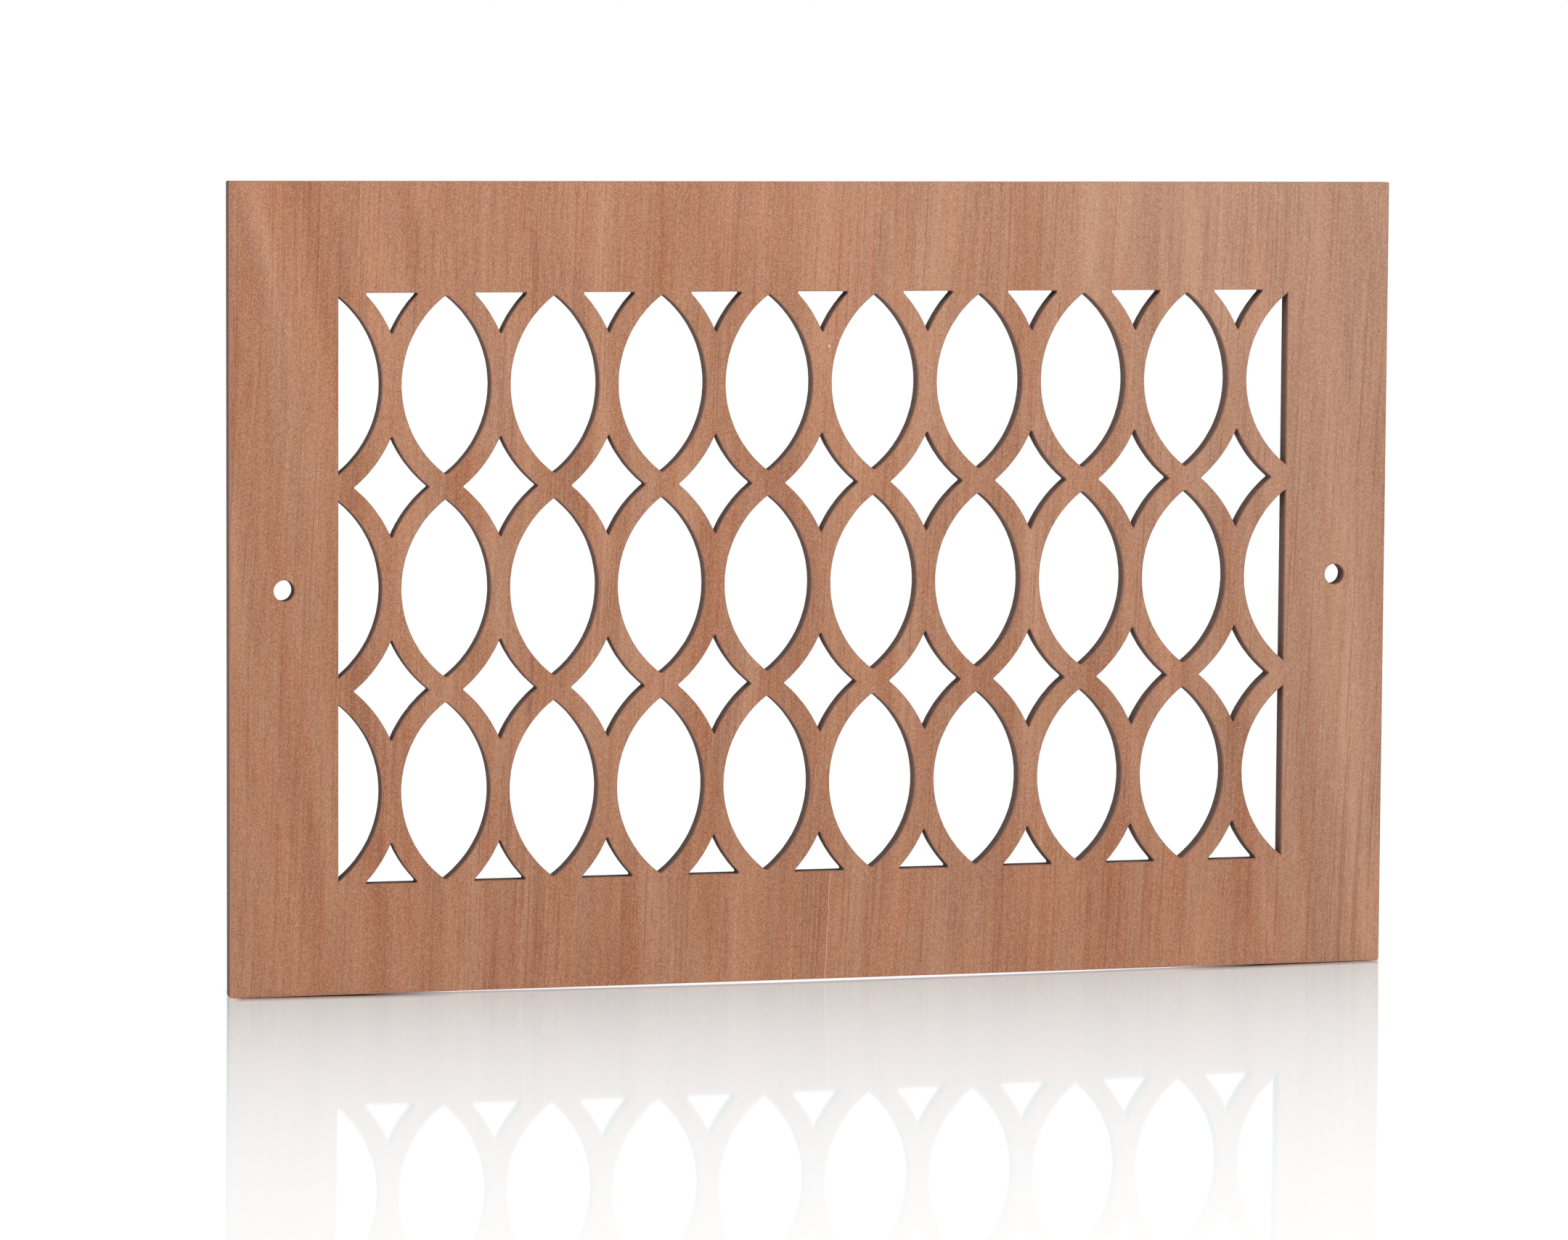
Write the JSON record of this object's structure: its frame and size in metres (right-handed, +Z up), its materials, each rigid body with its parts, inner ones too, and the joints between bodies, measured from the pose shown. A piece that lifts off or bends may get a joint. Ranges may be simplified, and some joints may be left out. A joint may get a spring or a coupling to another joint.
{
  "type": "vent register",
  "caption": "Flat rectangular wooden vent register cut through with pointed lens and diamond openings, fixed over a duct by a screw at each end.",
  "frame": {"origin": "middle of the flat back face, on the narrow band between two lenses, where the board lies against the wall", "axes": "+Y out of the back face into the wall, so the front faces -Y; +Z up; +X to the right seen from the front, along the board's length"},
  "size_m": [0.3048, 0.0048, 0.2032],
  "materials": {
    "reddish_wood": "matte, unvarnished, fine vertical grain, scorched dark brown on the cut walls"
  },
  "bodies": {
    "root": {"grille_panel": "reddish_wood"}
  },
  "joints": []
}
